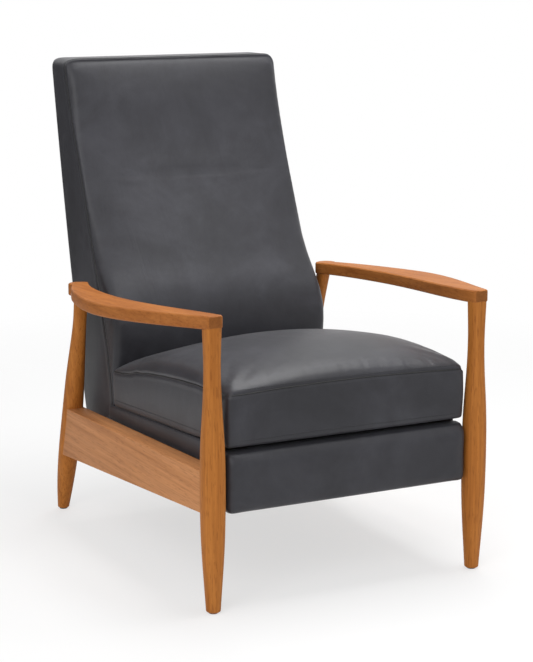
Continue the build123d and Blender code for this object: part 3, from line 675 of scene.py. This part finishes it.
def laid_on(tree, path, lift, spacing):
    """A path drawn on a surface at an even spacing, with the surface's normals."""
    spots = [Vector(p) for p in path]
    lengths = [0.0]
    for first, second in zip(spots, spots[1:]):
        lengths.append(lengths[-1] + (second - first).length)
    count = max(2, int(lengths[-1] / spacing))
    laid = []
    for wanted in np.linspace(0, lengths[-1], count + 1):
        index = min(max(np.searchsorted(lengths, wanted) - 1, 0), len(spots) - 2)
        share = (wanted - lengths[index]) / max(lengths[index + 1] - lengths[index], tiny)
        spot, normal, _, _ = tree.find_nearest(spots[index].lerp(spots[index + 1], share))
        laid.append((spot + lift * normal, normal))
    for _ in range(path_rounds):
        middle = [laid[0]]
        for before, here, after in zip(laid, laid[1:], laid[2:]):
            spot = (before[0] + 2 * here[0] + after[0]) / 4
            normal = (before[1] + 2 * here[1] + after[1]).normalized()
            middle.append((spot, normal))
        laid = middle + [laid[-1]]
    return laid


def tube_into(form, spots, radius, sides):
    """Adds a round cord through spots to a mesh."""
    rings = []
    for number, spot in enumerate(spots):
        ahead = spots[min(number + 1, len(spots) - 1)] - spots[max(number - 1, 0)]
        ahead.normalize()
        if number == 0:
            beside = ahead.orthogonal().normalized()
        else:
            beside = (beside - ahead * beside.dot(ahead)).normalized()
        above = ahead.cross(beside)
        ring = []
        for step in range(sides):
            angle = 2 * math.pi * step / sides
            ring.append(form.verts.new(spot + radius * (math.cos(angle) * beside + math.sin(angle) * above)))
        rings.append(ring)
    for lower, upper in zip(rings, rings[1:]):
        for step in range(sides):
            following = (step + 1) % sides
            form.faces.new((lower[step], lower[following], upper[following], upper[step]))
    form.faces.new(list(reversed(rings[0])))
    form.faces.new(rings[-1])


def sewing(name, form, material, body):
    """Turns a mesh of cords or stitches into a piece that rides on a body."""
    mesh = bpy.data.meshes.new(name)
    form.to_mesh(mesh)
    form.free()
    mesh.materials.append(material)
    for face in mesh.polygons:
        face.use_smooth = True
    piece = object_of(name, mesh)
    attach(piece, body)


def seams(name, tree, paths, body):
    """Sewn joints: a thin near-black cord half sunk along each path, which paints the shade in the seam's
    groove.
    """
    form = bmesh.new()
    for path in paths:
        row = laid_on(tree, path, seam_lift, seam_spacing)
        tube_into(form, [spot for spot, _ in row], seam_radius, seam_sides)
    sewing(name, form, seam_shade_cord, body)


def stitches(name, tree, paths, body):
    """Rows of separate short stitches along each path."""
    form = bmesh.new()
    for path in paths:
        row = laid_on(tree, path, stitch_lift, stitch_pitch)
        for (first, normal), (second, _) in zip(row, row[1:]):
            run = (second - first).normalized() * stitch_length / 2
            middle = (first + second) / 2
            arch = normal * stitch_arch
            tube_into(form, [middle - run, middle + arch, middle + run], stitch_radius, stitch_sides)
    sewing(name, form, thread, body)


def shifted(path, offset):
    """A path moved by an offset."""
    return [Vector(p) + Vector(offset) for p in path]


# Seat cushion


def cushion_edge(sign, up):
    """The cushion's top (up is 1) or bottom (up is -1) side edge, from the front to the rear."""
    low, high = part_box("seat_cushion")
    path = []
    start, end = low[1] + cushion_edge_start, high[1] - cushion_edge_end
    for place in np.linspace(start, end, cushion_edge_points):
        ring = slice_of("seat_cushion", 1, place)
        path.append(Vector(ring[np.argmax(cushion_edge_lean * sign * ring[:, 0] + up * ring[:, 2])]))
    return path


def side_seam(sign):
    """The cushion's side seam, which runs a little below its top edge between the corners."""
    path = cushion_edge(sign, 1)
    shares = np.linspace(-1, 1, len(path))
    return [spot - Vector((0, 0, side_seam_drop * (1 - share ** 4))) for spot, share in zip(path, shares)]


def creases(piece, front):
    """Short folds that run back from the cushion's front seam."""
    spots = points_of(piece.data)
    rays = normals_of(piece.data)
    lift = np.zeros(len(spots))
    for number in np.flatnonzero((rays[:, 2] > crease_facing) & (spots[:, 1] < front + 3 * crease_reach)):
        x, y, _ = spots[number]
        wide = noise.noise((wide_fold[0] * x, wide_fold[1] * y, wide_fold[2]))
        fine = noise.noise((fine_fold[0] * x + fine_fold_lean * y, fine_fold[1] * y, fine_fold[2]))
        fold = wide + fine_fold_share * fine
        lift[number] = crease_height * fold * math.exp(-(y - front) / crease_reach)
    put_points(piece.data, spots + lift[:, None] * rays)


def sagged(piece):
    """Lets the cushion's lower edge, and its underside near it, hang lower at the sides and front."""
    spots = points_of(piece.data)
    low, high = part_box("seat_cushion")
    beside = np.minimum(spots[:, 0] - low[0], high[0] - spots[:, 0]) / cushion_sag_inset
    inward = (spots[:, 1] - low[1]) / cushion_sag_front - cushion_sag_steps
    edge = np.clip(1 - np.minimum(beside, inward), 0, 1)
    floor_z = np.interp(spots[:, 1], (low[1], high[1]), (cushion_floor(low[1]), cushion_floor(high[1])))
    near = np.clip(1 - (spots[:, 2] - floor_z) / cushion_sag_height, 0, 1)
    behind = np.clip((spots[:, 1] - low[1]) / cushion_sag_depth, cushion_sag_least, 1)
    spots[:, 2] -= cushion_sag * behind * edge ** 0.5 * near
    put_points(piece.data, spots)


def cushion_floor(place):
    """Height of the cushion's flat bottom at a depth."""
    low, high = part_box("seat_cushion")
    inside = min(max(place, low[1] + floor_margin), high[1] - floor_margin)
    return slice_of("seat_cushion", 1, inside)[:, 2].min()


def seat_cushion():
    """The cushion: its solid made even, sagged, swollen, seamed and stitched."""
    left, right = side_seam(-1), side_seam(1)
    low_left, low_right = cushion_edge(-1, -1), cushion_edge(1, -1)
    front_y, rear_y = (corner[1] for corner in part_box("seat_cushion"))
    slope = math.atan2(cushion_floor(rear_y) - cushion_floor(front_y), rear_y - front_y - 2 * floor_margin)
    piece = even_form("seat_cushion_leather", [frame["nodes"]["seat_cushion"].data], slope)
    sagged(piece)
    settled(piece)
    tree = surface_of(frame["nodes"]["seat_cushion"])
    front = []
    for share in np.linspace(-front_seam_span, front_seam_span, front_seam_points):
        height = front_seam_ends + front_seam_crown * (1 - share ** 2)
        before = Vector((share * right[0].x, front_y - 1, height))
        spot, _, _, _ = tree.ray_cast(before, Vector((0, 1, 0)))
        front.append(spot)
    top_loop = list(reversed(left)) + front + right
    low_loop = list(reversed(low_left)) + low_right
    hold = near_paths(piece.data, [top_loop, low_loop], pin_reach)
    hold = np.maximum(hold, facing(piece.data, 2, -1, underside_start))
    swollen(piece, hold, cushion_cap)
    finished(piece, ["seat_cushion"], "seat")
    creases(piece, front_y)
    sunk(piece, [top_loop])
    tree = surface_of(piece)
    seams("cushion_seam", tree, [top_loop], "seat")
    rows = [
        shifted(left, (side_row_inset, 0, side_row_rise)),
        shifted(right, (-side_row_inset, 0, side_row_rise)),
        shifted(front, (0, front_row_inset, front_row_rise)),
        shifted(low_loop, (0, 0, low_row_rise)),
    ]
    stitches("cushion_stitching", tree, rows, "seat")


# Back


def back_edge(sign):
    """The side seam of the back, from the bottom to the top corner."""
    return [Vector((sign * back_seam_x, y, z)) for z, y in back_seam]


def back_core():
    """A plug for the hollow that holds the back's frame."""
    form = bmesh.new()
    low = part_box("back_upholstery")[0][2]
    for spot in points_of(frame["nodes"]["back_rear_panel"].data):
        form.verts.new(spot)
    for side, sign in (("left", -1), ("right", 1)):
        spots = points_of(frame["nodes"][f"back_post_{side}"].data)
        for x, y, z in spots:
            grown = z + core_rise if z > 2 * low else low
            form.verts.new((x + core_side * sign, y - core_front, grown))
    bmesh.ops.convex_hull(form, input=form.verts)
    mesh = bpy.data.meshes.new("back_core")
    form.to_mesh(mesh)
    form.free()
    return mesh


def plumped(piece):
    """Fills the back's front out between its seams, smooths it, and rolls its top edge over."""
    mesh = piece.data
    spots = points_of(mesh)
    ahead = facing(mesh, 1, -1, back_front_start)
    across = np.clip(1 - np.abs(spots[:, 0] / back_seam_x) ** 4, 0, 1)
    rise = np.clip((spots[:, 2] - back_roll_start) / (cad_box[1][2] - back_roll_start), 0, 1)
    even = np.transpose([spread(mesh, column, back_settle_rounds) for column in spots.T])
    front = ahead * across * (1 - rise)
    spots += front[:, None] * (even - spots)
    heights, shifts = np.array(back_crest_heights), np.array(back_crest_shifts)
    spots[:, 1] -= front * (back_crown + spline_through(heights, shifts, spots[:, 2]))
    spots[:, 1] += ahead * back_roll_depth * rise ** 2
    put_points(mesh, spots)


def back():
    """The back: its solids made one even form, plumped, swollen and seamed."""
    left, right = back_edge(-1), back_edge(1)
    solids = [frame["nodes"][node].data for node in ("back_upholstery", "back_rear_panel")]
    piece = even_form("back_leather", solids + [back_core()])
    settled(piece)
    plumped(piece)
    crest = [Vector((-x, y, z)) for x, z, y in crest_seam]
    crest += [Vector((x, y, z)) for x, z, y in reversed(crest_seam[:-1])]
    loop = left + crest + list(reversed(right))
    hold = near_paths(piece.data, [loop], pin_reach)
    hold = np.maximum(hold, facing(piece.data, 1, 1))
    swollen(piece, hold, back_cap)
    finished(piece, ["back_upholstery", "back_rear_panel"], "back")
    sunk(piece, [left, right])
    seams("back_seam", surface_of(piece), [loop], "back")


# Footrest panel


def footrest():
    """The footrest's pad over its board, with a stretched and rolled top edge."""
    solids = [frame["nodes"][node].data for node in ("footrest_pad", "footrest_board")]
    piece = even_form("footrest_leather", solids)
    settled(piece)
    swollen(piece, facing(piece.data, 1, 1), panel_cap)
    low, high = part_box("footrest_board")
    spots = points_of(piece.data)
    above, below = spots > np.array(low) - board_margin, spots < np.array(high) + board_margin
    within = np.all(above & below, axis=1)
    spots[within, 1] -= board_recess
    pad_low, pad_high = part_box("footrest_pad")
    rise = np.clip((spots[:, 2] - pad_high[2] + panel_roll_height) / panel_roll_height, 0, 1)
    ahead = np.clip((pad_high[1] - spots[:, 1]) / (pad_high[1] - pad_low[1]), 0, 1)
    spots[:, 1] += panel_roll_depth * rise ** 2 * ahead
    stretch = np.clip((spots[:, 2] - pad_high[2] + panel_stretch_height) / panel_stretch_height, 0, 1)
    spots[:, 2] += panel_stretch * stretch
    put_points(piece.data, spots)
    finished(piece, ["footrest_pad"], "footrest")


# Leather bands on the seat's sides and front


def band(place, rounding, drop):
    """A leather band with rounded edges, its top edge a little lower than the solid's."""
    piece = bevelled(f"seat_{place}", f"seat_{place}_leather", charcoal, rounding)
    spots = points_of(piece.data)
    upper = normals_of(piece.data)[:, 2] > band_top_facing
    spots[upper, 2] -= drop
    put_points(piece.data, spots)
    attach(piece, "seat")


seat_cushion()
back()
footrest()
band("band_left", band_round, band_drop)
band("band_right", band_round, band_drop)
band("front_band", front_band_round, 0.0)


# Solids that show as they are

finishes = {
    "steel": zinc,
    "glide_plastic": black_plastic,
    "webbing": webbing,
    "deck_cloth": deck_cloth,
    "stained_wood": stained_wood,
    "plywood": charcoal,
    "leather": charcoal,
    "frame_wood": rail_wood,
}
upright = ("back_post_left", "back_post_right")
for row in frame["record"]["subparts"]:
    solid = frame["nodes"][row["node"]]
    finish = finishes.get(row["material_slot"], cross_wood)
    if row["node"] in upright:
        finish = post_wood
    solid.data.materials.clear()
    solid.data.materials.append(finish)


# Floor, world, lamps and camera


def floor():
    """A pale floor that fades into the white world."""
    look = Shader("pale_floor")
    look.tree.nodes.remove(look.surface)
    where = look.add("ShaderNodeTexCoord")
    distance = look.add("ShaderNodeVectorMath", operation="LENGTH")
    look.join(where.outputs["Object"], distance.inputs[0])
    share = look.maths("DIVIDE", distance.outputs["Value"], floor_reach)
    fade = look.ramp(share, (fade_start, (0, 0, 0)), (fade_end, (1, 1, 1)))
    matte = look.add("ShaderNodeBsdfDiffuse", Color=(0.93, 0.93, 0.93, 1.0))
    glow = look.add("ShaderNodeEmission", Color=(1.0, 1.0, 1.0, 1.0))
    path = look.add("ShaderNodeLightPath")
    seen = look.maths("MAXIMUM", path.outputs["Is Glossy Ray"], path.outputs["Is Transmission Ray"])
    seen = look.maths("MAXIMUM", path.outputs["Is Camera Ray"], seen)
    lifted = look.add("ShaderNodeMixShader")
    look.join(look.maths("MULTIPLY", seen, floor_lift), lifted.inputs[0])
    look.join(matte.outputs[0], lifted.inputs[1])
    look.join(glow.outputs[0], lifted.inputs[2])
    clear = look.add("ShaderNodeBsdfTransparent")
    blend = look.add("ShaderNodeMixShader")
    look.join(fade, blend.inputs[0])
    look.join(lifted.outputs[0], blend.inputs[1])
    look.join(clear.outputs[0], blend.inputs[2])
    look.join(blend.outputs[0], look.tree.nodes["Material Output"].inputs["Surface"])
    form = bmesh.new()
    bmesh.ops.create_circle(form, cap_ends=True, radius=floor_reach, segments=floor_sides)
    mesh = bpy.data.meshes.new("floor")
    form.to_mesh(mesh)
    form.free()
    mesh.materials.append(look.material)
    object_of("floor", mesh)


def world():
    """Plain soft light all round, white to the camera and to reflections."""
    sky = bpy.data.worlds.new("studio")
    bpy.context.scene.world = sky
    sky.use_nodes = True
    tree = sky.node_tree
    path = tree.nodes.new("ShaderNodeLightPath")
    glossy = tree.nodes.new("ShaderNodeMath")
    seen = tree.nodes.new("ShaderNodeMath")
    for node in (glossy, seen):
        node.operation = "MAXIMUM"
    tree.links.new(path.outputs["Is Glossy Ray"], glossy.inputs[0])
    tree.links.new(path.outputs["Is Transmission Ray"], glossy.inputs[1])
    tree.links.new(path.outputs["Is Camera Ray"], seen.inputs[0])
    tree.links.new(glossy.outputs[0], seen.inputs[1])
    strength = tree.nodes.new("ShaderNodeMapRange")
    strength.inputs["To Min"].default_value = world_light
    strength.inputs["To Max"].default_value = 1.0
    tree.links.new(seen.outputs[0], strength.inputs["Value"])
    tree.links.new(strength.outputs["Result"], tree.nodes["Background"].inputs["Strength"])
    tree.nodes["Background"].inputs["Color"].default_value = (1.0, 1.0, 1.0, 1.0)


def lamp(name, place, size, power):
    """A soft box that points at the chair's middle."""
    data = bpy.data.lights.new(name, "AREA")
    data.shape = "RECTANGLE"
    data.size, data.size_y = size
    data.energy = power
    made = bpy.data.objects.new(name, data)
    made.location = place
    aim = lamp_target - Vector(place)
    made.rotation_euler = aim.to_track_quat("-Z", "Y").to_euler()
    bpy.context.collection.objects.link(made)


def flag(place, size):
    """A dark card behind the chair, out of the camera's sight, to keep glare off its left side."""
    look = Shader("dark_card")
    look.surface.inputs["Base Color"].default_value = (0.02, 0.02, 0.02, 1.0)
    look.surface.inputs["Roughness"].default_value = 0.9
    form = bmesh.new()
    bmesh.ops.create_grid(form, x_segments=1, y_segments=1, size=0.5)
    mesh = bpy.data.meshes.new("dark_card")
    form.to_mesh(mesh)
    form.free()
    mesh.materials.append(look.material)
    card = object_of("dark_card", mesh)
    card.location = place
    card.scale = (*size, 1.0)
    card.rotation_euler = (math.radians(90), 0, -camera_azimuth)
    card.visible_camera = False


def camera():
    """The camera that took the photograph, as fitted."""
    data = bpy.data.cameras.new("photo_camera")
    data.sensor_fit = "VERTICAL"
    data.sensor_height = sensor_size
    data.lens = focal_pixels / image_height * sensor_size
    made = bpy.data.objects.new("photo_camera", data)
    level = math.cos(camera_elevation)
    side, ahead = math.sin(camera_azimuth) * level, -math.cos(camera_azimuth) * level
    back_ray = Vector((side, ahead, math.sin(camera_elevation)))
    made.location = camera_target + camera_distance * back_ray
    made.rotation_euler = (-back_ray).to_track_quat("-Z", "Y").to_euler()
    bpy.context.collection.objects.link(made)
    bpy.context.scene.camera = made


floor()
world()
lamp("key", place=(-2.5, -2.5, 2.5), size=(2.2, 1.8), power=48)
lamp("fill", place=(1.5, -2.5, 2.3), size=(1.2, 1.2), power=3)
lamp("top", place=(0.7, 0.1, 3.0), size=(2.2, 1.6), power=66)
flag(place=(-1.35, 2.25, 0.7), size=(2.6, 1.5))
camera()
bpy.context.scene.view_settings.view_transform = "Standard"
